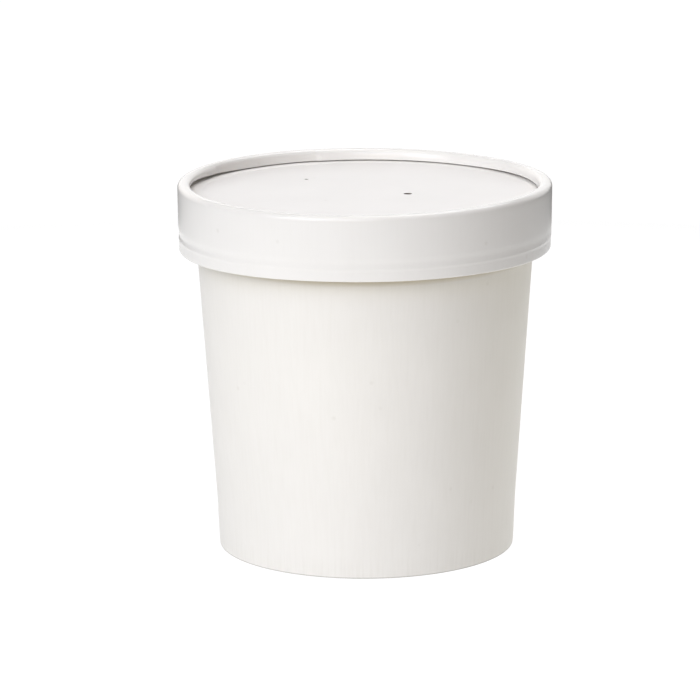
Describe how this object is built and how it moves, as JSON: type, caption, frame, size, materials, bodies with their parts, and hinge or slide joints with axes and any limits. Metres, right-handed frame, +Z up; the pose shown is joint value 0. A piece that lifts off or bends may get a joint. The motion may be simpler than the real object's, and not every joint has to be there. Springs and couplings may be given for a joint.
{
  "type": "paper food container",
  "caption": "Round tapered white paper food container with a folded standing ring, shut with a vented paper lid that has a hemmed skirt and a beaded rim.",
  "frame": {"origin": "middle of the ring that the cup stands on, on the surface that it stands on", "axes": "+Z up along the container's axis, -Y towards the front, +X to the right seen from the front"},
  "size_m": [0.1, 0.1, 0.0993],
  "materials": {
    "cup_board": "coated white paperboard, semi-matt, with a faint upright fibre",
    "base_board": "coated white paperboard, semi-matt",
    "ring_board": "coated white paper strip, semi-matt with a soft sheen on its bead",
    "panel_board": "coated white paperboard, semi-matt, flat"
  },
  "bodies": {
    "root": {"cup": "cup_board", "cup_base": "base_board", "lid_ring": "ring_board", "lid_panel": "panel_board"}
  },
  "joints": []
}
